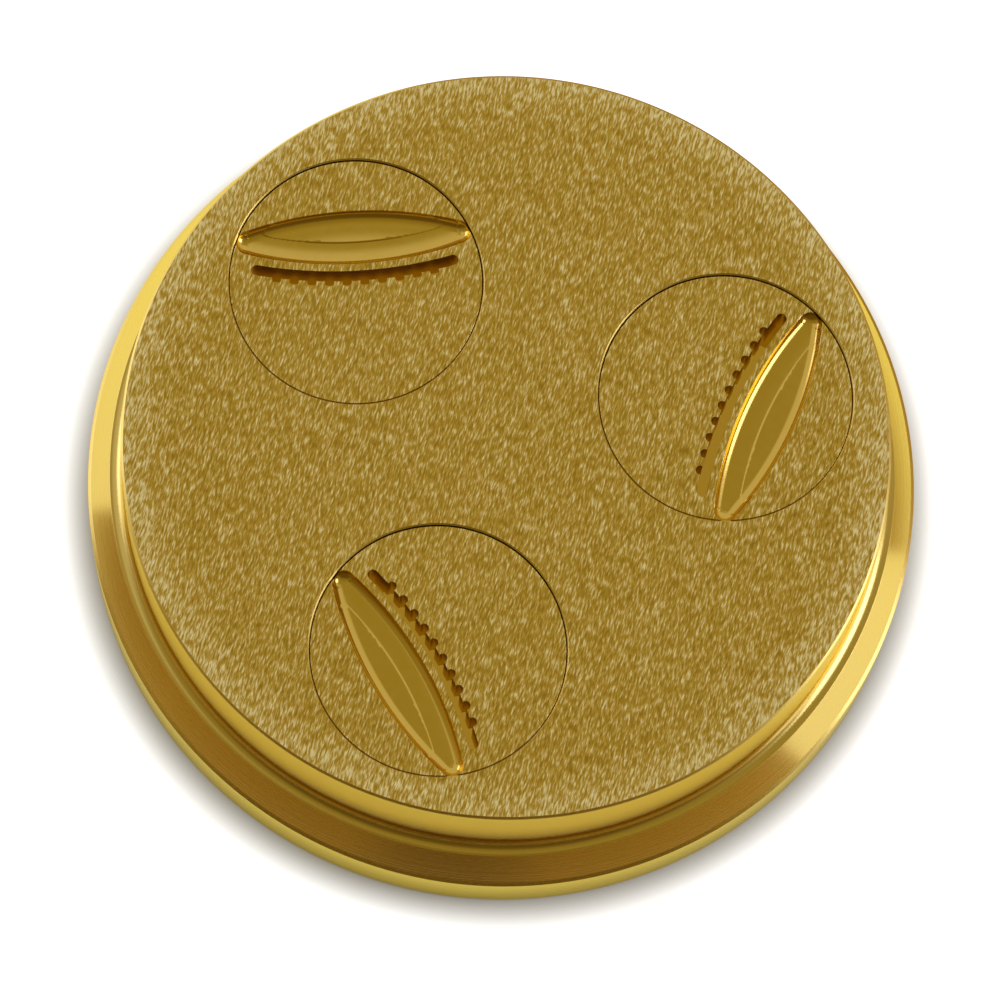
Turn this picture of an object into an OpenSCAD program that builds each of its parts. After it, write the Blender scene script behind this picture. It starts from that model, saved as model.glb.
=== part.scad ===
// Pasta extrusion die for ridged shells.
// A turned bronze body carries three round inserts, pushed in from the inlet side against a step.
// Millimetres, +Z up: dough comes in at the bottom, pasta leaves through the face on top.

/* [Die body] */
// Diameter of the flange
flange_d = 60; // [58.5:0.5:80]
// Height of the flange, from the inlet side up to its ledge
flange_h = 7.75; // [6:0.05:9]
// Height of the flange's straight rim, up to the conical shoulder
rim_h = 5.3; // [2:0.1:6.5]
// Width of the conical shoulder, seen from above
shoulder_w = 1.65; // [0.5:0.05:1.9]
// Diameter of the spigot that ends in the face
spigot_d = 54.7; // [52.5:0.1:56]
// Whole height of the die
die_h = 15.8; // [13.5:0.1:22]
// Radius of the fillet at the foot of the spigot
foot_r = 0.9; // [0.2:0.1:1]
// Edge break round the face
face_break = 0.16; // [0.05:0.01:0.5]
// Edge break at the top of the rim
rim_break = 0.24; // [0.05:0.01:0.6]
// Edge break round the inlet side
inlet_break = 0.4; // [0.1:0.1:1]

/* [Insert seats] */
// Diameter of the circle that the inserts' centres lie on
pitch_d = 31.9; // [30:0.1:33]
// Angle of the first insert, counted from +X
first_angle = 19.6; // [0:0.1:120]
// Height of the step that the inserts' collars seat on
seat_h = 7; // [5:0.1:9]
// Gap all round between an insert and its bore
insert_gap = 0.03; // [0.01:0.01:0.05]
// Edge break round a seat's bore at the face
seat_break = 0.15; // [0.05:0.01:0.3]
// Edge break on an insert at the face
seam_break = 0.05; // [0.02:0.01:0.2]

/* [Insert] */
// Diameter of an insert at the face
insert_d = 18; // [17.4:0.1:19]
// Diameter of the collar at an insert's inlet end
collar_d = 20; // [19.5:0.1:21.5]
// Height of the collar
collar_h = 2.5; // [1:0.1:5]
// Diameter of the feed chamber inside an insert
feed_d = 15.6; // [15.4:0.1:16.4]
// Thickness of the front wall that the slot is cut through
front_t = 3.5; // [2:0.1:5]
// Edge break at the mouth of the feed chamber
mouth_break = 0.5; // [0.1:0.1:1]
// Direction from slot to recess on the right insert, turned from straight outward
right_turn = -36.6; // [-180:0.1:180]
// The same on the back left insert
back_turn = -38.7; // [-180:0.1:180]
// The same on the front insert
front_turn = -42.3; // [-180:0.1:180]

/* [Toothed slot] */
// Length of the slot from end to end, along its chord
slot_len = 14.8; // [10:0.1:15]
// Width of the slot, which is the thickness of the pasta
slot_w = 0.75; // [0.5:0.05:1.2]
// Radius of the slot's middle line
slot_r = 31; // [20:0.5:60]
// Distance of the slot's middle from the insert's centre, towards the recess
slot_offset = 0.45; // [-0.5:0.05:0.5]
// Number of notches along the slot's convex edge, which give the pasta its ridges
notch_count = 10; // [4:1:11]
// Distance between neighbouring notches
notch_pitch = 1.26; // [0.8:0.02:1.3]
// Diameter of a notch
notch_d = 0.65; // [0.4:0.05:0.75]
// Depth of a notch beyond the slot's edge
notch_depth = 0.4; // [0.2:0.05:0.6]

/* [Recess] */
// Length of the lens-shaped recess beside the slot
recess_len = 16.8; // [14:0.1:17]
// Width of the recess at its middle
recess_w = 3.95; // [2.5:0.05:4.2]
// Depth of the recess on the side away from the slot
recess_depth = 0.58; // [0.3:0.02:0.64]
// Radius of its hollow wall on that side, in section
recess_r = 0.85; // [0.8:0.05:2.5]
// How much deeper the milling pass along the slot is
pass_step = 0.06; // [0.02:0.02:0.12]
// Width of the milling pass along the slot
pass_w = 1.7; // [1.2:0.05:2.4]
// Radius of the pass's hollow wall, in section
pass_r = 0.85; // [0.8:0.05:3]
// Slope from upright of the low step between the two passes
step_slope = 60; // [20:1:70]
// Distance of the recess's middle from the insert's centre
recess_offset = 3.32; // [3.2:0.02:4]
// Radius of the cutter that rounds the recess's ends
recess_end_r = 0.85; // [0.8:0.05:1]

/* [Hidden] */
NODES = ["die_body", "insert_right", "insert_back_left", "insert_front"];
$fn = 96;
// Overshoot of a cut past the faces that it opens
cut = 1;
// How far an end cutter stands out of the recess's side walls, so that they meet crosswise
end_bulge = 0.03;

insert_count = len(NODES) - 1;
flange_r = flange_d / 2;
spigot_r = spigot_d / 2;
ledge_r = flange_r - shoulder_w;
// The fillet at the spigot's foot ends on the ledge
foot = min(foot_r, ledge_r - spigot_r);
insert_r = insert_d / 2;
bore_r = insert_r + insert_gap;
collar_r = collar_d / 2;
feed_r = feed_d / 2;
feed_top = die_h - front_t;
insert_bottom = seat_h - collar_h;

// Width, seen from above, of a hollow wall of radius r that goes down to a depth
function hollow_w(depth, r) = sqrt(depth * (2 * r - depth));

// Recess: centre of its end cutters, and radius of its long sides
end_x = recess_len / 2 - recess_end_r;
lens_sag = recess_w / 2 - recess_end_r + end_bulge;
lens_r = (end_x * end_x + lens_sag * lens_sag) / (2 * lens_sag);
// The end cutters go as deep as the hollow wall is in their middle
end_rise = max(0, hollow_w(recess_depth, recess_r) - recess_end_r);
end_depth = recess_depth - recess_r + sqrt(recess_r * recess_r - end_rise * end_rise);

// Puts a shape at insert k's centre, turned so that +Y points from slot to recess
module at_seat(k, turn = 0) {
  rotate(first_angle + k * 360 / insert_count)
    translate([pitch_d / 2, 0, 0])
      rotate(turn - 90)
        children();
}

// Half section of the body, as it comes off the lathe
module body_section() {
  polygon([
    [0, 0],
    [flange_r - inlet_break, 0],
    [flange_r, inlet_break],
    [flange_r, rim_h - rim_break],
    [flange_r - rim_break, rim_h],
    [ledge_r, flange_h],
    [spigot_r, flange_h],
    [spigot_r, die_h - face_break],
    [spigot_r - face_break, die_h],
    [0, die_h],
  ]);
  // Metal left at the foot of the spigot by a round-nosed tool
  difference() {
    translate([spigot_r - foot, flange_h - foot]) square(2 * foot);
    translate([spigot_r + foot, flange_h + foot]) circle(foot);
  }
}

// Stepped hole that takes one insert
module seat_bore() {
  translate([0, 0, -cut])
    cylinder(h = seat_h + cut, r = collar_r + insert_gap);
  cylinder(h = die_h + cut, r = bore_r);
  translate([0, 0, die_h - seat_break])
    cylinder(h = seat_break + cut, r1 = bore_r, r2 = bore_r + seat_break + cut);
}

module die_body() {
  color("#b8963a")
    difference() {
      rotate_extrude() body_section();
      for (k = [0 : insert_count - 1]) at_seat(k) seat_bore();
    }
}

// Turned blank of an insert: cup with a collar round its inlet end
module insert_blank() {
  rotate_extrude()
    polygon([
      [feed_r + mouth_break, insert_bottom],
      [collar_r, insert_bottom],
      [collar_r, seat_h],
      [insert_r, seat_h],
      [insert_r, die_h - seam_break],
      [insert_r - seam_break, die_h],
      [0, die_h],
      [0, feed_top],
      [feed_r, feed_top],
      [feed_r, insert_bottom + mouth_break],
    ]);
}

// Arc slot through the front wall, with round ends and notches along its convex edge
module toothed_slot() {
  end_angle = asin((slot_len - slot_w) / 2 / slot_r);
  notch_r = slot_r + slot_w / 2 + notch_depth - notch_d / 2;
  notch_step = 2 * asin(notch_pitch / 2 / notch_r);
  cut_h = front_t + 2 * cut;
  translate([0, slot_offset + slot_r, feed_top - cut]) {
    rotate(-90 - end_angle)
      rotate_extrude(angle = 2 * end_angle)
        translate([slot_r - slot_w / 2, 0]) square([slot_w, cut_h]);
    for (side = [-1, 1])
      rotate(-90 + side * end_angle)
        translate([slot_r, 0, 0]) cylinder(h = cut_h, d = slot_w);
    for (i = [0 : notch_count - 1])
      rotate(-90 + (i - (notch_count - 1) / 2) * notch_step)
        translate([notch_r, 0, 0]) cylinder(h = cut_h, d = notch_d);
  }
}

// Round cutter of radius r at the face, with a flat floor and a hollow wall
module recess_cutter(r, depth, wall_r) {
  floor_r = r - hollow_w(depth, wall_r);
  translate([0, 0, die_h - depth])
    rotate_extrude() {
      square([floor_r, depth + cut]);
      intersection() {
        translate([floor_r, wall_r]) circle(wall_r);
        translate([floor_r, 0]) square([wall_r, depth + cut]);
      }
    }
}

// Lens between two wide arcs, as wide as the recess and as long as the run between its end cutters
module lens(depth) {
  reach = lens_r - recess_w / 2;
  intersection() {
    translate([0, -reach, 0]) recess_cutter(lens_r, depth, recess_r, $fn = 360);
    translate([0, reach, 0]) recess_cutter(lens_r, depth, pass_r, $fn = 360);
    translate([-end_x, -recess_w, 0]) cube([2 * end_x, 2 * recess_w, die_h + 2 * cut]);
  }
}

// Recess milled in two passes: the one along the slot is a little deeper and leaves a low step
module recess() {
  deep = recess_depth + pass_step;
  step_foot_r = lens_r - pass_w;
  step_top_r = step_foot_r - (deep + cut) * tan(step_slope);
  translate([0, recess_offset, 0]) {
    lens(recess_depth);
    difference() {
      lens(deep);
      translate([0, lens_r - recess_w / 2, die_h - deep])
        cylinder(h = deep + cut, r1 = step_foot_r, r2 = step_top_r, $fn = 360);
    }
    for (side = [-1, 1])
      translate([side * end_x, 0, 0]) recess_cutter(recess_end_r, end_depth, recess_end_r);
  }
}

module insert(k, turn) {
  color("#b3923c")
    at_seat(k, turn)
      difference() {
        insert_blank();
        toothed_slot();
        recess();
      }
}

module insert_right() { insert(0, right_turn); }

module insert_back_left() { insert(1, back_turn); }

module insert_front() { insert(2, front_turn); }

die_body();
insert_right();
insert_back_left();
insert_front();
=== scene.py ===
"""Pasta extrusion die for ridged shells: its looks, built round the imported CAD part."""

import math

import bmesh
import bpy
from bpy.props import FloatProperty, FloatVectorProperty, IntProperty, PointerProperty
from mathutils import Matrix, Vector
from mathutils.geometry import delaunay_2d_cdt


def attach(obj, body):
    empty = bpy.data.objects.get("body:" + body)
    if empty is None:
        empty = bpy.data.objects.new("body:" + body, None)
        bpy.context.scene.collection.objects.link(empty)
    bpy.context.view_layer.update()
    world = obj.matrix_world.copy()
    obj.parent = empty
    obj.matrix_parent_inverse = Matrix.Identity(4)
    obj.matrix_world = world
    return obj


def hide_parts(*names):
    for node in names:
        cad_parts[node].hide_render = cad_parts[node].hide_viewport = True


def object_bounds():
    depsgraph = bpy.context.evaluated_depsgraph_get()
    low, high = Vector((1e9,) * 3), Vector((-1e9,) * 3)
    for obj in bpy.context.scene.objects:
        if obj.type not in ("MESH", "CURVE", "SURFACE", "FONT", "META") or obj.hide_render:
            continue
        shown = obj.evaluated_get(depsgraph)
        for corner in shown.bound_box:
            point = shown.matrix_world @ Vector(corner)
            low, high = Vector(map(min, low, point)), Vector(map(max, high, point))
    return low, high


bl_info = {
    "name": "Pasta extrusion die",
    "version": (1, 0, 0),
    "blender": (4, 5, 0),
    "location": "View3D > Sidebar > Pasta die",
    "description": "Builds a turned bronze pasta die with three shell inserts",
    "category": "Object",
}

MM = 0.001
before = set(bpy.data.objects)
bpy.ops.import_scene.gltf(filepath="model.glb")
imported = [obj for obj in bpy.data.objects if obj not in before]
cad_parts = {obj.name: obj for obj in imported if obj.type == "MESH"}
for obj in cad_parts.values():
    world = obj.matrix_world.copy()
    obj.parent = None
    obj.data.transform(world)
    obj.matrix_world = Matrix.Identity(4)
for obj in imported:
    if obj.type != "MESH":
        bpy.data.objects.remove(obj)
CAD_LOW, CAD_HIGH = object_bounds()
# Each insert's CAD node, and its direction from slot to recess, in degrees from straight outward
INSERTS = (("insert_right", -36.6), ("insert_back_left", -38.7), ("insert_front", -42.3))
# Order of the finishes on a piece
TURNED, FACE, RECESS, SLOT = range(4)
# Edges that bend more than this stay sharp
SHARP_ANGLE = math.radians(32)


def hex_linear(code):
    """Linear red, green and blue of an sRGB hex colour."""
    parts = [int(code[i : i + 2], 16) / 255 for i in (1, 3, 5)]
    return [p / 12.92 if p <= 0.04045 else ((p + 0.055) / 1.055) ** 2.4 for p in parts]


def length(name, description, default):
    """A size in metres that the panel shows as a length."""
    return FloatProperty(
        name=name,
        description=description,
        default=default,
        min=0,
        precision=5,
        subtype="DISTANCE",
        unit="LENGTH",
    )


def colour(name, description, code):
    """A colour that the panel shows as a swatch, given as sRGB hex."""
    return FloatVectorProperty(
        name=name,
        description=description,
        default=hex_linear(code),
        size=3,
        min=0,
        max=1,
        subtype="COLOR",
    )


def add(tree, kind, inputs=(), **settings):
    """A new node with its settings; inputs pairs sockets with values, or with nodes or outputs to link."""
    node = tree.nodes.new(kind)
    for name, value in settings.items():
        setattr(node, name, value)
    for socket, value in dict(inputs).items():
        if isinstance(value, bpy.types.Node):
            value = value.outputs[0]
        if isinstance(value, bpy.types.NodeSocket):
            tree.links.new(value, node.inputs[socket])
        else:
            node.inputs[socket].default_value = value
    return node


# Sizes and colours


class DieBodySizes(bpy.types.PropertyGroup):
    """Sizes of the turned body"""

    flange_d: length("Flange diameter", "Diameter of the flange", 2 * CAD_HIGH.x)
    die_h: length("Height", "Whole height of the die", CAD_HIGH.z)
    rim_h: length("Rim height", "Height of the flange's straight rim", 5.3 * MM)
    flange_h: length("Ledge height", "Height of the ledge round the spigot", 7.75 * MM)
    shoulder_w: length("Shoulder width", "Width of the conical shoulder", 1.65 * MM)
    spigot_d: length("Spigot diameter", "Diameter of the spigot", 54.7 * MM)
    foot_r: length("Foot fillet", "Fillet at the foot of the spigot", 0.9 * MM)
    face_break: length("Face edge", "Edge break round the face", 0.16 * MM)
    rim_break: length("Rim edge", "Edge break at the rim's top", 0.24 * MM)
    inlet_break: length("Inlet edge", "Edge break round the inlet side", 0.4 * MM)
    seat_count: IntProperty(
        name="Seats", description="Seats for inserts", default=3, min=1, max=12
    )
    pitch_d: length("Pitch circle", "Circle through the seats' centres", 31.9 * MM)
    first_angle: FloatProperty(
        name="First seat",
        description="Angle of the first seat, counted from +X",
        default=math.radians(19.6),
        subtype="ANGLE",
        unit="ROTATION",
    )
    seat_h: length("Seat step", "Height of the step that the collars seat on", 7 * MM)
    seat_d: length("Seat bore", "Diameter of the bore at the face", 18.16 * MM)
    collar_bore_d: length("Collar bore", "Diameter of the collar's bore", 20.16 * MM)
    edge_r: length("Edge rounding", "Rounding of the turned edges", 0.05 * MM)
    lip_w: length("Seat lip width", "Width of the seats' edge break at the face", 0.1 * MM)
    lip_h: length("Seat lip depth", "Depth of that edge break", 0.09 * MM)
    steps: IntProperty(
        name="Steps", description="Steps round the body", default=288, min=24, max=720
    )


class InsertSizes(bpy.types.PropertyGroup):
    """Sizes that the three inserts share"""

    insert_d: length("Insert diameter", "Diameter of an insert at the face", 18 * MM)
    collar_d: length("Collar diameter", "Diameter of the inlet collar", 20 * MM)
    collar_h: length("Collar height", "Height of the inlet collar", 2.5 * MM)
    feed_d: length("Feed chamber", "Diameter of the feed chamber", 15.6 * MM)
    front_t: length("Front wall", "Thickness that the slot is cut through", 3.5 * MM)
    mouth_break: length("Mouth edge", "Edge break of the feed chamber", 0.5 * MM)
    seat_play: length("Seat play", "How far an insert has slid to -Y in its seat", 0.07 * MM)
    seam_r: length("Seam edge", "Rounding of an insert's edge at the face", 0.03 * MM)
    slot_len: length("Slot length", "Slot from end to end", 14.8 * MM)
    slot_w: length("Slot width", "Width of the slot", 0.75 * MM)
    slot_r: length("Slot radius", "Radius of the slot's middle line", 31 * MM)
    slot_offset: length("Slot place", "Slot's middle from the centre", 0.45 * MM)
    slot_edge: length("Slot edge", "Edge break of the slot", 0.03 * MM)
    notch_count: IntProperty(
        name="Notches", description="Notches along the slot", default=10, min=1, max=20
    )
    notch_pitch: length("Notch pitch", "Distance between notches", 1.26 * MM)
    notch_d: length("Notch diameter", "Diameter of a notch", 0.65 * MM)
    notch_depth: length("Notch depth", "Depth beyond the slot's edge", 0.4 * MM)
    recess_len: length("Recess length", "Length of the recess", 16.8 * MM)
    recess_w: length("Recess width", "Width of the recess", 3.95 * MM)
    recess_depth: length("Recess depth", "Depth away from the slot", 0.58 * MM)
    recess_r: length("Recess wall", "Radius of the far wall's foot", 0.85 * MM)
    pass_step: length("Pass step", "Extra depth along the slot", 0.06 * MM)
    pass_w: length("Pass width", "Width of the deeper pass", 1.7 * MM)
    pass_r: length("Pass wall", "Radius of the foot along the slot", 0.85 * MM)
    recess_offset: length("Recess place", "Recess's middle from the centre", 3.32 * MM)
    recess_end: length("Recess end", "Radius of the recess's ends", 0.85 * MM)
    recess_edge: length("Recess edge", "Half width of the recess's eased edge", 0.04 * MM)


class FinishColours(bpy.types.PropertyGroup):
    """Colours of the bronze, by finish"""

    turned: colour("Turned bronze", "Body's turned sides", "#d6bb6c")
    sanded: colour("Sanded bronze", "Face, between the streaks", "#cfae50")
    sanded_low: colour("Sanded hollow", "Dark hollows of the sanded face", "#b08e34")
    # Sanding streaks; their near-white colour is a painted highlight for their glints
    streak_and_glint: colour("Streak", "Bright sanding streaks on the face", "#fff3cc")
    milled: colour("Milled bronze", "Recesses beside the slots", "#d6b55c")
    slot_wall: colour("Slot wall", "Inside of the toothed slots", "#dcbd70")


# Finishes


def new_material(name):
    """A new material, its tree, its Principled shader and Object coordinates in millimetres."""
    material = bpy.data.materials.new(name)
    material.use_nodes = True
    tree = material.node_tree
    tree.nodes.clear()
    # Bronze stays golden where it is seen at a slant
    shader = add(
        tree,
        "ShaderNodeBsdfPrincipled",
        {"Metallic": 1.0, "Specular Tint": (1, 0.94, 0.4, 1)},
    )
    add(tree, "ShaderNodeOutputMaterial", {"Surface": shader})
    place = add(tree, "ShaderNodeTexCoord").outputs["Object"]
    millimetres = add(
        tree, "ShaderNodeVectorMath", {0: place, "Scale": 1 / MM}, operation="SCALE"
    )
    return material, tree, shader, millimetres


def sanded_bronze(colours):
    """Tin bronze rubbed one way on abrasive paper: dull gold with short bright streaks that lean alike;
    their near-white colour is a painted highlight standing in for glints on them.
    """
    material, tree, shader, mm = new_material("sanded_bronze")
    leaning = add(
        tree,
        "ShaderNodeVectorRotate",
        {"Vector": mm, "Angle": math.radians(8)},
        rotation_type="Z_AXIS",
    )
    # Short scratches, drawn about 0.1 mm wide so that they show
    scratch_place = add(
        tree,
        "ShaderNodeVectorMath",
        {0: leaning, 1: (1 / 0.125, 1 / 0.6, 1)},
        operation="MULTIPLY",
    )
    scratches = add(
        tree,
        "ShaderNodeTexNoise",
        {"Vector": scratch_place, "Scale": 1.0, "Detail": 1.5, "Roughness": 0.6},
    )
    # Patches about 1 mm across where the paper bit more or less
    patch_place = add(
        tree,
        "ShaderNodeVectorMath",
        {0: leaning, 1: (1 / 0.7, 1 / 1.4, 1)},
        operation="MULTIPLY",
    )
    patches = add(
        tree,
        "ShaderNodeTexNoise",
        {"Vector": patch_place, "Scale": 1.0, "Detail": 2.0},
    )
    # The outermost 4 mm of the face get more near-white streaks, a painted highlight for the glints along
    # the face's edge
    flat = add(tree, "ShaderNodeVectorMath", {0: mm, 1: (1, 1, 0)}, operation="MULTIPLY")
    radius = add(tree, "ShaderNodeVectorMath", {0: flat}, operation="LENGTH")
    edge_glint = add(
        tree,
        "ShaderNodeMapRange",
        {"Value": radius.outputs["Value"], "From Min": 23.5, "From Max": 27.3, "To Max": 0.1},
        interpolation_type="SMOOTHSTEP",
    )
    uneven = add(
        tree,
        "ShaderNodeMath",
        {0: patches, 1: 0.18, 2: scratches},
        operation="MULTIPLY_ADD",
    )
    # Random bite of the paper, plus the painted highlight along the edge
    bite_and_edge_glint = add(tree, "ShaderNodeMath", {0: uneven, 1: edge_glint}, operation="ADD")
    tint = add(tree, "ShaderNodeValToRGB", {"Fac": bite_and_edge_glint})
    ramp = tint.color_ramp
    ramp.elements[0].position, ramp.elements[1].position = 0.42, 0.83
    ramp.elements[0].color = (*colours.sanded_low, 1)
    # The ramp's top is the streaks' colour, near-white as a painted highlight for their glints
    ramp.elements[1].color = (*colours.streak_and_glint, 1)
    middle = ramp.elements.new(0.625)
    middle.color = (*colours.sanded, 1)
    tree.links.new(tint.outputs["Color"], shader.inputs["Base Color"])
    rough = add(
        tree,
        "ShaderNodeMapRange",
        {"Value": scratches, "From Min": 0.3, "From Max": 0.7, "To Min": 0.34, "To Max": 0.5},
    )
    tree.links.new(rough.outputs[0], shader.inputs["Roughness"])
    relief = add(
        tree,
        "ShaderNodeBump",
        {"Height": scratches, "Strength": 1.0, "Distance": 0.04 * MM},
    )
    tree.links.new(relief.outputs[0], shader.inputs["Normal"])
    return material


def turned_bronze(colours):
    """Tin bronze off the lathe, lightly polished: bright gold with faint rings."""
    material, tree, shader, mm = new_material("turned_bronze")
    shader.inputs["Base Color"].default_value = (*colours.turned, 1)
    axes = add(tree, "ShaderNodeSeparateXYZ", {0: mm})
    rings = add(
        tree,
        "ShaderNodeTexNoise",
        {"W": axes.outputs["Z"], "Scale": 9.0, "Detail": 3.0},
        noise_dimensions="1D",
    )
    rough = add(
        tree,
        "ShaderNodeMapRange",
        {"Value": rings, "From Min": 0.3, "From Max": 0.7, "To Min": 0.22, "To Max": 0.3},
    )
    # The spigot's side, above its foot, is left duller than the flange
    dull = add(
        tree,
        "ShaderNodeMapRange",
        {"Value": axes.outputs["Z"], "From Min": 8.4, "From Max": 9.2, "To Max": 0.12},
        interpolation_type="SMOOTHSTEP",
    )
    whole = add(tree, "ShaderNodeMath", {0: rough, 1: dull}, operation="ADD")
    tree.links.new(whole.outputs[0], shader.inputs["Roughness"])
    return material


def milled_bronze(colours):
    """Tin bronze left by a small end mill: smooth and a little dull."""
    material, tree, shader, mm = new_material("milled_bronze")
    shader.inputs["Base Color"].default_value = (*colours.milled, 1)
    cloud = add(tree, "ShaderNodeTexNoise", {"Vector": mm, "Scale": 1.5, "Detail": 3.0})
    rough = add(
        tree,
        "ShaderNodeMapRange",
        {"Value": cloud, "From Min": 0.3, "From Max": 0.7, "To Min": 0.14, "To Max": 0.2},
    )
    tree.links.new(rough.outputs[0], shader.inputs["Roughness"])
    return material


def wire_cut_bronze(colours):
    """Tin bronze cut by spark and wire: dull and deep golden."""
    material, tree, shader, mm = new_material("wire_cut_bronze")
    shader.inputs["Base Color"].default_value = (*colours.slot_wall, 1)
    cloud = add(tree, "ShaderNodeTexNoise", {"Vector": mm, "Scale": 6.0, "Detail": 3.0})
    rough = add(
        tree,
        "ShaderNodeMapRange",
        {"Value": cloud, "From Min": 0.3, "From Max": 0.7, "To Min": 0.3, "To Max": 0.42},
    )
    tree.links.new(rough.outputs[0], shader.inputs["Roughness"])
    return material


# Shapes


def rounded(corners, steps=6):
    """Profile points from (radius, height, rounding) corners, each corner rounded by an arc."""
    points = []
    for i, (x, z, r) in enumerate(corners):
        here = Vector((x, z))
        if r == 0 or i in (0, len(corners) - 1):
            points.append(here)
            continue
        back = (Vector(corners[i - 1][:2]) - here).normalized()
        ahead = (Vector(corners[i + 1][:2]) - here).normalized()
        half = back.angle(ahead) / 2
        reach = r / math.tan(half)
        centre = here + (back + ahead).normalized() * (r / math.sin(half))
        start = here + back * reach - centre
        sweep = start.angle_signed(here + ahead * reach - centre)
        for k in range(steps + 1):
            turn = Matrix.Rotation(-sweep * k / steps, 2)
            points.append(centre + turn @ start)
    return points


def profile_object(name, points):
    """A helper whose mesh is the chain of profile points, in the XZ plane."""
    mesh = bpy.data.meshes.new(name)
    edges = [(i, i + 1) for i in range(len(points) - 1)]
    mesh.from_pydata([(p.x, 0, p.y) for p in points], edges, [])
    obj = bpy.data.objects.new(name, mesh)
    bpy.context.scene.collection.objects.link(obj)
    return obj


def new_tree(name, sockets):
    """A geometry node group with a Geometry output and these (name, socket type) inputs."""
    tree = bpy.data.node_groups.new(name, "GeometryNodeTree")
    tree.interface.new_socket("Geometry", in_out="OUTPUT", socket_type="NodeSocketGeometry")
    for label, kind in sockets:
        tree.interface.new_socket(label, in_out="INPUT", socket_type=kind)
    return tree, add(tree, "NodeGroupInput")


def lathe_tree():
    """Turns a chain of profile points round +Z into a closed skin."""
    tree, given = new_tree(
        "lathe", [("Geometry", "NodeSocketGeometry"), ("Steps", "NodeSocketInt")]
    )
    profile, steps = given.outputs["Geometry"], given.outputs["Steps"]
    count = add(tree, "GeometryNodeAttributeDomainSize", {"Geometry": profile})
    columns = add(tree, "ShaderNodeMath", {0: steps, 1: 1.0}, operation="ADD")
    grid = add(tree, "GeometryNodeMeshGrid", {"Vertices X": columns, "Vertices Y": count})
    index = add(tree, "GeometryNodeInputIndex")
    row = add(tree, "ShaderNodeMath", {0: index, 1: count}, operation="MODULO")
    ratio = add(tree, "ShaderNodeMath", {0: index, 1: count}, operation="DIVIDE")
    column = add(tree, "ShaderNodeMath", {0: ratio}, operation="FLOOR")
    place = add(tree, "GeometryNodeInputPosition")
    point = add(
        tree,
        "GeometryNodeSampleIndex",
        {"Geometry": profile, "Value": place, "Index": row},
        data_type="FLOAT_VECTOR",
    )
    share = add(tree, "ShaderNodeMath", {0: column, 1: steps}, operation="DIVIDE")
    angle = add(tree, "ShaderNodeMath", {0: share, 1: math.tau}, operation="MULTIPLY")
    around = add(
        tree, "ShaderNodeVectorRotate", {"Vector": point, "Angle": angle}, rotation_type="Z_AXIS"
    )
    skin = add(
        tree,
        "GeometryNodeSetPosition",
        {"Geometry": grid.outputs["Mesh"], "Position": around},
    )
    closed = add(tree, "GeometryNodeMergeByDistance", {"Geometry": skin, "Distance": 1e-3 * MM})
    add(tree, "NodeGroupOutput", {"Geometry": closed})
    return tree


def body_tree(lathe):
    """Turned body less a pattern of stepped seats on a pitch circle."""
    tree, given = new_tree(
        "die_body",
        [
            ("Geometry", "NodeSocketGeometry"),
            ("Steps", "NodeSocketInt"),
            ("Seat profile", "NodeSocketObject"),
            ("Seat steps", "NodeSocketInt"),
            ("Seats", "NodeSocketInt"),
            ("Pitch radius", "NodeSocketFloat"),
            ("First angle", "NodeSocketFloat"),
            ("Material", "NodeSocketMaterial"),
        ],
    )
    out = given.outputs
    body = add(
        tree,
        "GeometryNodeGroup",
        {"Geometry": out["Geometry"], "Steps": out["Steps"]},
        node_tree=lathe,
    )
    seat_profile = add(tree, "GeometryNodeObjectInfo", {"Object": out["Seat profile"]})
    seat = add(
        tree,
        "GeometryNodeGroup",
        {"Geometry": seat_profile.outputs["Geometry"], "Steps": out["Seat steps"]},
        node_tree=lathe,
    )
    circle = add(
        tree, "GeometryNodeMeshCircle", {"Vertices": out["Seats"], "Radius": out["Pitch radius"]}
    )
    spin = add(tree, "ShaderNodeCombineXYZ", {"Z": out["First angle"]})
    ring = add(tree, "GeometryNodeTransform", {"Geometry": circle, "Rotation": spin})
    pattern = add(tree, "GeometryNodeInstanceOnPoints", {"Points": ring, "Instance": seat})
    cutters = add(tree, "GeometryNodeRealizeInstances", {"Geometry": pattern})
    bored = add(
        tree,
        "GeometryNodeMeshBoolean",
        {"Mesh 1": body, "Mesh 2": cutters},
        operation="DIFFERENCE",
        solver="EXACT",
    )
    real = add(tree, "GeometryNodeRealizeInstances", {"Geometry": bored})
    dressed = add(
        tree, "GeometryNodeSetMaterial", {"Geometry": real, "Material": out["Material"]}
    )
    add(tree, "NodeGroupOutput", {"Geometry": dressed})
    return tree


def evaluated_mesh(obj, name):
    """Plain mesh of an object with its modifiers."""
    graph = bpy.context.evaluated_depsgraph_get()
    mesh = bpy.data.meshes.new_from_object(obj.evaluated_get(graph))
    mesh.name = name
    return mesh


def set_inputs(modifier, values):
    """Sets a node modifier's inputs by their sockets' identifiers."""
    names = {
        s.name: s.identifier
        for s in modifier.node_group.interface.items_tree
        if s.item_type == "SOCKET" and s.in_out == "INPUT"
    }
    for name, value in values.items():
        modifier[names[name]] = value


def finish_piece(obj, node):
    """Puts a piece on the part's body in place of its CAD node."""
    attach(obj, "root")
    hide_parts(node)


def smooth(mesh):
    """Smooth shading with sharp edges."""
    mesh.shade_smooth()
    mesh.set_sharp_from_angle(angle=SHARP_ANGLE)


def flatten(obj):
    """Keeps flat faces flat beside small roundings."""
    weighted = obj.modifiers.new("flat faces", "WEIGHTED_NORMAL")
    weighted.mode = "FACE_AREA"
    weighted.weight = 100
    weighted.keep_sharp = True


# Pieces


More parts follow.
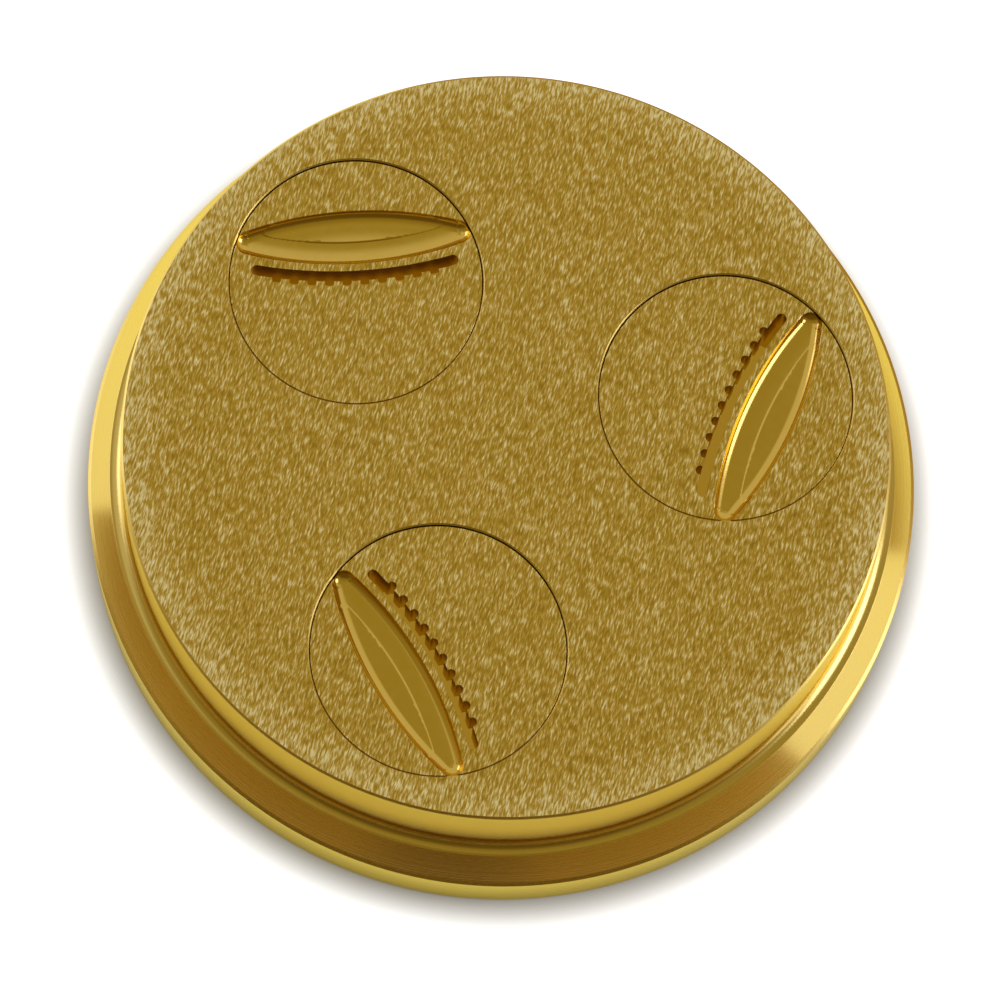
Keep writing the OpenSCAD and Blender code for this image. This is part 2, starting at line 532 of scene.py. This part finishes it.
class PASTADIE_OT_body(bpy.types.Operator):
    """Turn the die's body and bore its three seats"""

    bl_idname = "pastadie.body"
    bl_label = "Die body"

    def execute(self, context):
        s = context.scene.die_body_sizes
        colours = context.scene.die_colours
        flange_r, spigot_r, e = s.flange_d / 2, s.spigot_d / 2, s.edge_r
        ledge_r = flange_r - s.shoulder_w
        profile = rounded(
            [
                (0, 0, 0),
                (flange_r - s.inlet_break, 0, e),
                (flange_r, s.inlet_break, e),
                (flange_r, s.rim_h - s.rim_break, e),
                (flange_r - s.rim_break, s.rim_h, e),
                (ledge_r, s.flange_h, e),
                (spigot_r, s.flange_h, s.foot_r),
                (spigot_r, s.die_h - s.face_break, e),
                (spigot_r - s.face_break, s.die_h, e),
                (0, s.die_h, 0),
            ]
        )
        # A seat's cutter goes past the faces that it opens, and breaks the edges there
        past, mouth = 1 * MM, 2 * e
        bore, collar = s.seat_d / 2, s.collar_bore_d / 2
        seat_corners = (
            (0, -past),
            (collar + past + mouth, -past),
            (collar + mouth, 0),
            (collar, mouth),
            (collar, s.seat_h),
            (bore, s.seat_h),
            (bore, s.die_h - s.lip_h),
            (bore + s.lip_w * (1 + past / s.lip_h), s.die_h + past),
            (0, s.die_h + past),
        )
        obj = profile_object("body", profile)
        seat = profile_object("seat_profile", [Vector(corner) for corner in seat_corners])
        sanded = sanded_bronze(colours)
        turned = turned_bronze(colours)
        modifier = obj.modifiers.new("turning", "NODES")
        modifier.node_group = body_tree(lathe_tree())
        set_inputs(
            modifier,
            {
                "Steps": s.steps,
                "Seat profile": seat,
                "Seat steps": s.steps // 2,
                "Seats": s.seat_count,
                "Pitch radius": s.pitch_d / 2,
                "First angle": s.first_angle,
                "Material": turned,
            },
        )
        mesh = evaluated_mesh(obj, "body")
        obj.modifiers.clear()
        obj.data = mesh
        bpy.data.objects.remove(seat)
        if len(mesh.polygons) < s.steps:
            raise RuntimeError("the body came out empty")
        # Flat stretches that the boring left in pieces are joined again
        bm = bmesh.new()
        bm.from_mesh(mesh)
        bmesh.ops.dissolve_limit(bm, angle_limit=1e-3, verts=bm.verts, edges=bm.edges)
        bm.to_mesh(mesh)
        bm.free()
        mesh.materials.clear()
        for finish in (turned, sanded):
            mesh.materials.append(finish)
        for face in mesh.polygons:
            on_face = face.normal.z > 0.99 and face.center.z > s.die_h - 0.01 * MM
            face.material_index = FACE if on_face else TURNED
        smooth(mesh)
        flatten(obj)
        finish_piece(obj, "die_body")
        return {"FINISHED"}


def arc(centre, radius, start, end, steps):
    """Points along an arc, both ends included."""
    angles = [start + (end - start) * k / steps for k in range(steps + 1)]
    return [centre + radius * Vector((math.cos(a), math.sin(a))) for a in angles]


class InsertShape:
    """One insert in its own frame, in metres, where +Y runs from slot to recess."""

    STEP_SLOPE = math.radians(60)
    # The mill left both passes a little hollow: where each is lowest, and its radius across
    PASS_LOW, PASS_SCOOP = 1.45 * MM, 8 * MM
    FAR_LOW, FAR_SCOOP = 1.25 * MM, 12 * MM
    # Steps along the recess's long sides, round its ends and round the insert
    LONG_STEPS, END_STEPS, RIM_STEPS = 72, 18, 216
    # Steps along the slot: a notch, the land between two, a round end and the plain side
    NOTCH_STEPS, LAND_STEPS, TIP_STEPS, PLAIN_STEPS = 14, 4, 12, 60
    # Rings of points in the recess: over its walls, across its floor, and in its ends as shares
    WALL_W, WALL_RINGS = 0.79 * MM, 12
    FLOOR_GAP, FLOOR_RINGS = 0.13 * MM, 8
    END_RINGS = (0.15, 0.35, 0.55, 0.75)
    # Slot edge as shares of its size, inwards and down: a flat land, then a small round
    SLOT_ROUND = ((1, 0), (0.3, 0.3), (0, 1))
    # Zone along the insert's rim
    RIM_ZONE = 0.05 * MM

    def __init__(self, sizes):
        self.s = s = sizes
        self.radius = s.insert_d / 2
        # Long sides of the recess are arcs that run tangent into its round ends
        self.end_x = s.recess_len / 2 - s.recess_end
        half_w = s.recess_w / 2
        self.side_r = (self.end_x**2 + half_w**2 - s.recess_end**2) / (
            s.recess_w - 2 * s.recess_end
        )
        self.side_y = self.side_r - half_w
        self.fan = math.atan2(self.end_x, self.side_y)
        self.middle = Vector((0, s.recess_offset))
        self.deep = s.recess_depth + s.pass_step
        rise = max(0, self.hollow_w(s.recess_depth, s.recess_r) - s.recess_end)
        self.end_depth = s.recess_depth - s.recess_r + math.sqrt(s.recess_r**2 - rise**2)
        self.step_run = s.pass_step * math.tan(self.STEP_SLOPE)

    def slot_outline(self):
        """Closed outline of the slot, anticlockwise, with its notches away from the recess."""
        s = self.s
        centre = Vector((0, s.slot_offset + s.slot_r))
        half = s.slot_w / 2
        end = math.asin((s.slot_len - s.slot_w) / 2 / s.slot_r)
        outer = s.slot_r + half
        notch_at = outer + s.notch_depth - s.notch_d / 2
        pitch = 2 * math.asin(s.notch_pitch / 2 / notch_at)
        down = -math.pi / 2
        points = []
        previous = down - end
        for i in range(s.notch_count):
            a = down + (i - (s.notch_count - 1) / 2) * pitch
            middle = centre + notch_at * Vector((math.cos(a), math.sin(a)))
            # Half opening of the notch at the slot's edge
            across = math.sqrt((s.notch_d / 2) ** 2 - (notch_at - outer) ** 2)
            enter = a - across / outer
            points += arc(centre, outer, previous, enter, self.LAND_STEPS)[:-1]
            lift = math.asin((notch_at - outer) / (s.notch_d / 2))
            turn = math.pi / 2 + lift
            points += arc(middle, s.notch_d / 2, a - turn, a + turn, self.NOTCH_STEPS)
            previous = a + across / outer
        points += arc(centre, outer, previous, down + end, self.LAND_STEPS)[1:]
        tip = centre + s.slot_r * Vector((math.cos(down + end), math.sin(down + end)))
        points += arc(tip, half, down + end, down + end + math.pi, self.TIP_STEPS)[1:]
        points += arc(centre, s.slot_r - half, down + end, down - end, self.PLAIN_STEPS)[1:]
        tip = centre + s.slot_r * Vector((math.cos(down - end), math.sin(down - end)))
        start = down - end + math.pi
        points += arc(tip, half, start, start + math.pi, self.TIP_STEPS)[1:-1]
        return points

    def recess_outline(self, inside):
        """Closed outline of the recess, moved inwards by a distance."""
        long_r, end_r = self.side_r - inside, self.s.recess_end - inside
        down, up = -math.pi / 2, math.pi / 2
        near = self.middle + Vector((0, self.side_y))
        far = self.middle - Vector((0, self.side_y))
        if end_r < 0.05 * MM:
            # Past the middle of the round ends, the sides meet in points
            fan = math.acos(self.side_y / long_r)
            points = arc(near, long_r, down - fan, down + fan, self.LONG_STEPS)[:-1]
            return points + arc(far, long_r, up - fan, up + fan, self.LONG_STEPS)[:-1]
        right = self.middle + Vector((self.end_x, 0))
        left = self.middle - Vector((self.end_x, 0))
        points = arc(near, long_r, down - self.fan, down + self.fan, self.LONG_STEPS)
        points += arc(right, end_r, down + self.fan, up - self.fan, self.END_STEPS)[1:]
        points += arc(far, long_r, up - self.fan, up + self.fan, self.LONG_STEPS)[1:]
        points += arc(left, end_r, up + self.fan, 3 * up - self.fan, self.END_STEPS)[1:-1]
        return points

    @staticmethod
    def hollow_w(depth, radius):
        """Width of a hollow wall that goes down to a depth."""
        return math.sqrt(depth * (2 * radius - depth))

    def hollow(self, inside, depth, radius):
        """Depth of a hollow wall at a distance inside its edge, which is eased."""
        width, ease = self.hollow_w(depth, radius), self.s.recess_edge
        share = min(1, max(0, inside + ease) / (2 * ease)) ** 2
        rise = max(0, width - max(ease, inside))
        return share * (depth - radius + math.sqrt(radius**2 - rise**2))

    def inside(self, p):
        """Distances of a point inside the slot-side arc, the far arc and the nearer round end."""
        q = p - self.middle
        q.x = abs(q.x)
        near = self.side_r - (q - Vector((0, self.side_y))).length
        far = self.side_r - (q + Vector((0, self.side_y))).length
        return near, far, self.s.recess_end - (q - Vector((self.end_x, 0))).length

    def drop(self, p):
        """Depth of the surface below the face at a point."""
        s = self.s
        near, far, end = self.inside(p)
        level = self.hollow(end, self.end_depth, s.recess_end)
        if abs(p.x) < self.end_x:
            shallow = min(
                self.hollow(near, s.recess_depth, s.pass_r),
                self.hollow(far, s.recess_depth, s.recess_r),
                s.recess_depth - max(0, far - self.FAR_LOW) ** 2 / (2 * self.FAR_SCOOP),
            )
            deep = min(
                self.hollow(near, self.deep, s.pass_r),
                self.hollow(far, self.deep, s.recess_r),
                self.deep - (near - self.PASS_LOW) ** 2 / (2 * self.PASS_SCOOP),
                self.deep - max(0, near - s.pass_w) / math.tan(self.STEP_SLOPE),
            )
            level = max(level, shallow, deep)
        rim = p.length - (self.radius - s.seam_r)
        if rim > 0:
            rim = min(rim, s.seam_r)
            level = max(level, s.seam_r - math.sqrt(s.seam_r**2 - rim**2))
        return level

    def mesh(self, name, face_z, seat_z):
        """Closed mesh of the insert, with its finishes as material numbers."""
        s = self.s
        slot = self.slot_outline()
        count = len(slot)
        rings = []
        for k in range(4):
            a = math.pi / 2 * k / 3
            r = self.radius - s.seam_r * (1 - math.sin(a))
            rings.append(arc(Vector((0, 0)), r, 0, math.tau, self.RIM_STEPS)[:-1])
        outer = rings[-1]
        # Distances inside the recess's edge: over the eased edge, down the wall, across the floor
        edge = s.recess_edge
        depths = [edge * (k / 2 - 1) for k in range(5)]
        depths += [edge + self.WALL_W * k / self.WALL_RINGS for k in range(1, self.WALL_RINGS + 1)]
        foot = edge + self.WALL_W
        depths += [foot + self.FLOOR_GAP * k for k in range(1, self.FLOOR_RINGS + 1)]
        rings += [self.recess_outline(inside) for inside in depths]
        for side in (-1, 1):
            end = self.middle + Vector((side * self.end_x, 0))
            for share in self.END_RINGS:
                rings.append(arc(end, share * s.recess_end, 0, math.tau, 2 * self.END_STEPS)[:-1])
        normals = [
            ((slot[(i + 1) % count] - slot[i - 1]).orthogonal()).normalized()
            for i in range(count)
        ]
        edge_drop = {}
        first = sum(map(len, rings))
        for share, fall in self.SLOT_ROUND:
            rings.append([p - n * s.slot_edge * share for p, n in zip(slot, normals)])
            for i in range(count):
                edge_drop[first + i] = fall * s.slot_edge
            first += count
        # Foot and top of the step between the passes
        near = self.middle + Vector((0, self.side_y))
        down, reach = -math.pi / 2, 0.9 * self.fan
        lines = [
            arc(near, self.side_r - away, down - reach, down + reach, self.LONG_STEPS)
            for away in (s.pass_w, s.pass_w + self.step_run)
        ]
        points, edges = [], []
        for ring in rings:
            first = len(points)
            points += ring
            edges += [(first + i, first + (i + 1) % len(ring)) for i in range(len(ring))]
        for line in lines:
            first = len(points)
            points += line
            edges += [(first + i, first + i + 1) for i in range(len(line) - 1)]
        return self.build(name, points, edges, outer, slot, edge_drop, face_z, seat_z)

    def build(self, name, points, edges, outer, slot, edge_drop, face_z, seat_z):
        """Mesh of the face from its outlines, with the walls and chamber hung from its edges."""
        s = self.s
        # The outlines are joined up in millimetres, which suits the triangulation's tolerance
        flat, _, triangles, origins, _, _ = delaunay_2d_cdt(
            [p / MM for p in points], edges, [], 0, 1e-5
        )
        flat = [p * MM for p in flat]
        bm = bmesh.new()
        verts = []
        for p, origin in zip(flat, origins):
            fixed = [edge_drop[i] for i in origin if i in edge_drop]
            fall = fixed[0] if fixed else self.drop(p)
            verts.append(bm.verts.new((p.x, p.y, face_z - fall)))
        for triangle in triangles:
            middle = sum((flat[i] for i in triangle), Vector((0, 0))) / 3
            at_rim = middle.length > self.radius - self.RIM_ZONE
            if at_rim and not self.in_outline(middle, outer) or self.in_outline(middle, slot):
                continue
            face = bm.faces.new([verts[i] for i in triangle])
            near, far, end = self.inside(middle)
            cut = end > 0 or (min(near, far) > 0 and abs(middle.x) < self.end_x)
            face.material_index = RECESS if cut else FACE
        bmesh.ops.delete(bm, geom=[v for v in bm.verts if not v.link_faces], context="VERTS")
        rim, slot_rim = [], []
        for edge in bm.edges:
            if len(edge.link_faces) == 1:
                middle = (edge.verts[0].co + edge.verts[1].co) / 2
                at_rim = middle.xy.length > self.radius - self.RIM_ZONE
                (rim if at_rim else slot_rim).append(edge)
        bottom, ceiling = seat_z - s.collar_h, face_z - s.front_t
        collar_r, feed_r = s.collar_d / 2, s.feed_d / 2
        section = (
            (self.radius, seat_z),
            (collar_r, seat_z),
            (collar_r, bottom),
            (feed_r + s.mouth_break, bottom),
            (feed_r, bottom + s.mouth_break),
            (feed_r, ceiling),
        )
        for radius, z in section:
            rim = self.hang(bm, rim, z, TURNED, radius)
        slot_rim = self.hang(bm, slot_rim, ceiling, SLOT)
        filled = bmesh.ops.triangle_fill(bm, edges=rim + slot_rim, use_beauty=True)
        for face in filled["geom"]:
            if isinstance(face, bmesh.types.BMFace):
                face.material_index = TURNED
        bmesh.ops.remove_doubles(bm, verts=bm.verts, dist=1e-4 * MM)
        bmesh.ops.recalc_face_normals(bm, faces=bm.faces)
        if any(len(edge.link_faces) != 2 for edge in bm.edges):
            raise RuntimeError("the insert's mesh isn't closed")
        mesh = bpy.data.meshes.new(name)
        bm.to_mesh(mesh)
        bm.free()
        smooth(mesh)
        self.set_normals(mesh, face_z)
        return mesh

    def set_normals(self, mesh, face_z):
        """Gives the top the true normals of its shape, each corner on its own side of an edge."""
        normals = [corner.vector.copy() for corner in mesh.corner_normals]
        step, on_top = 0.002 * MM, 0.02 * MM
        aside, ahead = Vector((step, 0)), Vector((0, step))
        for face in mesh.polygons:
            middle = face.center.xy
            if abs(face_z - face.center.z - self.drop(middle)) > on_top:
                continue
            for i in face.loop_indices:
                # A tenth of the way to the face's middle, a corner is on its own side
                p = mesh.vertices[mesh.loops[i].vertex_index].co.xy.lerp(middle, 0.1)
                slope_x = self.drop(p + aside) - self.drop(p - aside)
                slope_y = self.drop(p + ahead) - self.drop(p - ahead)
                normals[i] = Vector((slope_x, slope_y, 2 * step)).normalized()
        mesh.normals_split_custom_set(normals)

    @staticmethod
    def hang(bm, edges, z, material, radius=None):
        """Draws a loop of edges to a height, and to a radius if given, and returns the new loop."""
        made = bmesh.ops.extrude_edge_only(bm, edges=edges)["geom"]
        for part in made:
            if isinstance(part, bmesh.types.BMVert):
                part.co.z = z
                if radius is not None:
                    part.co.xy = part.co.xy.normalized() * radius
            elif isinstance(part, bmesh.types.BMFace):
                part.material_index = material
        return [
            part
            for part in made
            if isinstance(part, bmesh.types.BMEdge) and len(part.link_faces) == 1
        ]

    @staticmethod
    def in_outline(p, outline):
        """True if a point lies inside a closed outline."""
        inside = False
        for a, b in zip(outline, outline[1:] + outline[:1]):
            if (a.y > p.y) != (b.y > p.y):
                if p.x < a.x + (b.x - a.x) * (p.y - a.y) / (b.y - a.y):
                    inside = not inside
        return inside


class PASTADIE_OT_inserts(bpy.types.Operator):
    """Cut the three inserts with their toothed slots and recesses"""

    bl_idname = "pastadie.inserts"
    bl_label = "Shell inserts"

    def execute(self, context):
        body, s = context.scene.die_body_sizes, context.scene.die_insert_sizes
        colours = context.scene.die_colours
        finishes = [
            bpy.data.materials["turned_bronze"],
            bpy.data.materials["sanded_bronze"],
            milled_bronze(colours),
            wire_cut_bronze(colours),
        ]
        shape = InsertShape(s).mesh("insert", body.die_h, body.seat_h)
        for finish in finishes:
            shape.materials.append(finish)
        for k, (node, turn) in enumerate(INSERTS):
            mesh = shape.copy()
            mesh.name = node.replace("insert", "shell")
            seat = Matrix.Rotation(body.first_angle + k * math.tau / body.seat_count, 4, "Z")
            reach = Matrix.Translation((body.pitch_d / 2, 0, 0))
            slid = Matrix.Translation((0, -s.seat_play, 0))
            mesh.transform(slid @ seat @ reach @ Matrix.Rotation(math.radians(turn - 90), 4, "Z"))
            obj = bpy.data.objects.new(mesh.name, mesh)
            context.scene.collection.objects.link(obj)
            finish_piece(obj, node)
        return {"FINISHED"}


class PASTADIE_OT_stage(bpy.types.Operator):
    """Lay the pale floor, set the studio light and place the camera"""

    bl_idname = "pastadie.stage"
    bl_label = "Stage"

    FLOOR_R = 5.0
    # Cards: where each starts and ends round the die, in degrees from +X
    CARDS = (("front_card", 188, 327), ("back_card", 1, 110))
    CARD_NEAR, CARD_FAR, CARD_STEPS = 38.3 * MM, 0.5, 24
    # Softboxes: azimuth and elevation in degrees, width and height, and radiance
    SOFTBOXES = (
        ("right_softbox", -5, 18, 0.11, 0.18, 3.0),
        ("left_softbox", 166, 14, 0.13, 0.14, 1.45),
    )
    SOFTBOX_AWAY = 0.25
    SOFTBOX_TINT = (1, 1.03, 1.4)
    # Radiance of the tent, of the gap overhead, of its front and of the dark side at the camera
    TENT, GAP = (0.74, 0.7, 0.56, 1), (0.43, 0.36, 0.11, 1)
    FRONT, DARK = (0.36, 0.29, 0.08, 1), (0.15, 0.1, 0.02, 1)
    # Camera: elevation and roll in degrees, aim and distance in flange radii, lens in millimetres
    ELEVATION, ROLL = 75.03, 7.42
    AIM, AWAY = (0.0017, -0.0306, 0.1), 14.8
    LENS = 219.3

    def execute(self, context):
        scene = context.scene
        scene.view_settings.view_transform = "Standard"
        self.floor(scene)
        self.world(scene)
        paper = self.brown_paper()
        for name, start, end in self.CARDS:
            self.card(scene, name, start, end, paper)
        for softbox in self.SOFTBOXES:
            self.softbox(scene, *softbox)
        self.camera(scene)
        return {"FINISHED"}

    def floor(self, scene):
        """A pale floor that looks plain white, but for the die's close shade."""
        bm = bmesh.new()
        bmesh.ops.create_circle(bm, cap_ends=True, segments=96, radius=self.FLOOR_R)
        mesh = bpy.data.meshes.new("floor")
        bm.to_mesh(mesh)
        bm.free()
        material = bpy.data.materials.new("pale_floor")
        material.use_nodes = True
        tree = material.node_tree
        tree.nodes.clear()
        seen = add(tree, "ShaderNodeLightPath")
        direct = add(
            tree,
            "ShaderNodeMath",
            {0: seen.outputs["Is Camera Ray"], 1: seen.outputs["Is Glossy Ray"]},
            operation="MAXIMUM",
        )
        shown = add(
            tree,
            "ShaderNodeMath",
            {0: direct, 1: seen.outputs["Is Transmission Ray"]},
            operation="MAXIMUM",
        )
        # The glow keeps the die's close shade and stays out from under it
        shade = add(tree, "ShaderNodeAmbientOcclusion", {"Distance": 2.5 * MM})
        deeper = add(
            tree, "ShaderNodeMath", {0: shade.outputs["AO"], 1: 2.8}, operation="POWER"
        )
        place = add(tree, "ShaderNodeTexCoord").outputs["Object"]
        away = add(tree, "ShaderNodeVectorMath", {0: place}, operation="LENGTH")
        clear = add(
            tree,
            "ShaderNodeMath",
            {0: away.outputs["Value"], 1: CAD_HIGH.x - 0.5 * MM},
            operation="GREATER_THAN",
        )
        # Under the die, only the little light that the bronze chambers throw about
        strength = add(tree, "ShaderNodeMix", {0: clear, 2: 0.29, 3: deeper})
        glow = add(tree, "ShaderNodeMath", {0: shown, 1: strength}, operation="MULTIPLY")
        tint = add(
            tree,
            "ShaderNodeMix",
            {0: clear, 6: (*hex_linear("#ffc840"), 1), 7: (1, 1, 1, 1)},
            data_type="RGBA",
        )
        shader = add(
            tree,
            "ShaderNodeBsdfPrincipled",
            {
                "Base Color": (*hex_linear("#b8bac0"), 1),
                "Roughness": 0.9,
                "Specular IOR Level": 0.0,
                "Emission Color": tint.outputs[2],
                "Emission Strength": glow,
            },
        )
        # From below, the floor is clear, so that the inlet side can be looked at
        sides = add(tree, "ShaderNodeNewGeometry")
        see_through = add(tree, "ShaderNodeBsdfTransparent")
        either = add(
            tree,
            "ShaderNodeMixShader",
            {0: sides.outputs["Backfacing"], 1: shader, 2: see_through},
        )
        add(tree, "ShaderNodeOutputMaterial", {"Surface": either})
        mesh.materials.append(material)
        floor = bpy.data.objects.new("floor", mesh)
        floor.location.z = CAD_LOW.z - 0.005 * MM
        scene.collection.objects.link(floor)

    def brown_paper(self):
        """Brown paper, darkest straight in front of the die where the camera's shade lies."""
        material = bpy.data.materials.new("brown_paper")
        material.use_nodes = True
        tree = material.node_tree
        place = add(tree, "ShaderNodeTexCoord").outputs["Object"]
        way = add(tree, "ShaderNodeVectorMath", {0: place}, operation="NORMALIZE")
        axes = add(tree, "ShaderNodeSeparateXYZ", {0: way})
        turn = add(tree, "ShaderNodeMath", {0: axes.outputs["Y"], 1: 1.0}, operation="ADD")
        tint = add(tree, "ShaderNodeValToRGB", {"Fac": turn})
        ramp = tint.color_ramp
        ramp.elements[0].color = (*hex_linear("#8e6d28"), 1)
        ramp.elements[1].position = 0.4
        ramp.elements[1].color = (*hex_linear("#d8b040"), 1)
        middle = ramp.elements.new(0.04)
        middle.color = (*hex_linear("#b8943a"), 1)
        shader = tree.nodes["Principled BSDF"]
        tree.links.new(tint.outputs["Color"], shader.inputs["Base Color"])
        shader.inputs["Roughness"].default_value = 0.9
        return material

    def card(self, scene, name, start, end, paper):
        """A brown card beside the die, outside the picture, that only the metal's reflections show."""
        steps, thick = self.CARD_STEPS, 0.1 * MM
        angles = [math.radians(start + (end - start) * k / steps) for k in range(steps + 1)]
        verts = [
            (r * math.cos(a), r * math.sin(a), thick)
            for a in angles
            for r in (self.CARD_NEAR, self.CARD_FAR)
        ]
        faces = [(2 * k, 2 * k + 1, 2 * k + 3, 2 * k + 2) for k in range(steps)]
        mesh = bpy.data.meshes.new(name)
        mesh.from_pydata(verts, [], faces)
        mesh.materials.append(paper)
        obj = bpy.data.objects.new(name, mesh)
        obj.visible_camera = obj.visible_shadow = obj.visible_diffuse = False
        scene.collection.objects.link(obj)

    def world(self, scene):
        """Light from all round, by direction."""
        world = bpy.data.worlds.new("studio")
        world.use_nodes = True
        tree = world.node_tree
        tree.nodes.clear()
        direction = add(tree, "ShaderNodeTexCoord").outputs["Generated"]
        axes = add(tree, "ShaderNodeSeparateXYZ", {0: direction})
        # A pale tent with a dim gap overhead, which widens into the dark side at the camera
        steps = (
            ("X", -0.3, -0.2),
            ("X", 0.8, 0.7),
            ("Y", 0.42, 0.32),
            ("Y", 0.0, -0.2),
            ("Y", -0.4, -0.8),
        )
        left, right, back, front, dark = [
            add(
                tree,
                "ShaderNodeMapRange",
                {"Value": axes.outputs[axis], "From Min": low, "From Max": high},
                interpolation_type="SMOOTHSTEP",
            )
            for axis, low, high in steps
        ]
        across = add(tree, "ShaderNodeMath", {0: left, 1: right}, operation="MULTIPLY")
        gap = add(tree, "ShaderNodeMath", {0: across, 1: back}, operation="MULTIPLY")
        room = self.TENT
        for share, shade in ((gap, self.GAP), (front, self.FRONT), (dark, self.DARK)):
            room = add(
                tree, "ShaderNodeMix", {0: share, 6: room, 7: shade}, data_type="RGBA"
            ).outputs[2]
        light = add(tree, "ShaderNodeBackground", {"Color": room})
        add(tree, "ShaderNodeOutputWorld", {"Surface": light})
        scene.world = world

    def softbox(self, scene, name, azimuth, elevation, width, height, radiance):
        """A soft rectangular lamp that faces the die and shows this radiance in the metal."""
        a, e = math.radians(azimuth), math.radians(elevation)
        way = Vector((math.cos(a) * math.cos(e), math.sin(a) * math.cos(e), math.sin(e)))
        lamp = bpy.data.lights.new(name, "AREA")
        lamp.shape = "RECTANGLE"
        lamp.size, lamp.size_y = width, height
        lamp.energy = radiance * math.pi * width * height
        lamp.color = self.SOFTBOX_TINT
        obj = bpy.data.objects.new(name, lamp)
        obj.location = way * self.SOFTBOX_AWAY
        obj.rotation_euler = way.to_track_quat("Z", "Y").to_euler()
        scene.collection.objects.link(obj)

    def camera(self, scene):
        """The photograph's view: high up in front of the die, with a slight roll."""
        elevation, roll = math.radians(self.ELEVATION), math.radians(self.ROLL)
        flange_r = CAD_HIGH.x
        aim = Vector(self.AIM) * flange_r
        back = Vector((0, -math.cos(elevation), math.sin(elevation)))
        side = Vector((1, 0, 0))
        rise = back.cross(side)
        right = math.cos(roll) * side + math.sin(roll) * rise
        up = math.cos(roll) * rise - math.sin(roll) * side
        data = bpy.data.cameras.new("camera")
        data.sensor_width = 36
        data.lens = self.LENS
        data.clip_start, data.clip_end = 0.01, 10
        obj = bpy.data.objects.new("camera", data)
        turn = Matrix((right, up, back)).transposed().to_4x4()
        obj.matrix_world = Matrix.Translation(aim + back * self.AWAY * flange_r) @ turn
        scene.collection.objects.link(obj)
        scene.camera = obj


class PASTADIE_PT_panel(bpy.types.Panel):
    """Sizes, colours and steps of the pasta die"""

    bl_idname = "PASTADIE_PT_panel"
    bl_label = "Pasta die"
    bl_space_type = "VIEW_3D"
    bl_region_type = "UI"
    bl_category = "Pasta die"

    def draw(self, context):
        scene = context.scene
        for group in (scene.die_body_sizes, scene.die_insert_sizes, scene.die_colours):
            column = self.layout.column(align=True)
            for name in group.__annotations__:
                column.prop(group, name)
        for operator in (PASTADIE_OT_body, PASTADIE_OT_inserts, PASTADIE_OT_stage):
            self.layout.operator(operator.bl_idname)


CLASSES = (
    DieBodySizes,
    InsertSizes,
    FinishColours,
    PASTADIE_OT_body,
    PASTADIE_OT_inserts,
    PASTADIE_OT_stage,
    PASTADIE_PT_panel,
)


def register():
    for cls in CLASSES:
        bpy.utils.register_class(cls)
    bpy.types.Scene.die_body_sizes = PointerProperty(type=DieBodySizes)
    bpy.types.Scene.die_insert_sizes = PointerProperty(type=InsertSizes)
    bpy.types.Scene.die_colours = PointerProperty(type=FinishColours)


def unregister():
    del bpy.types.Scene.die_colours
    del bpy.types.Scene.die_insert_sizes
    del bpy.types.Scene.die_body_sizes
    for cls in reversed(CLASSES):
        bpy.utils.unregister_class(cls)


def main():
    register()
    bpy.ops.pastadie.body()
    bpy.ops.pastadie.inserts()
    bpy.ops.pastadie.stage()


if __name__ == "__main__":
    main()
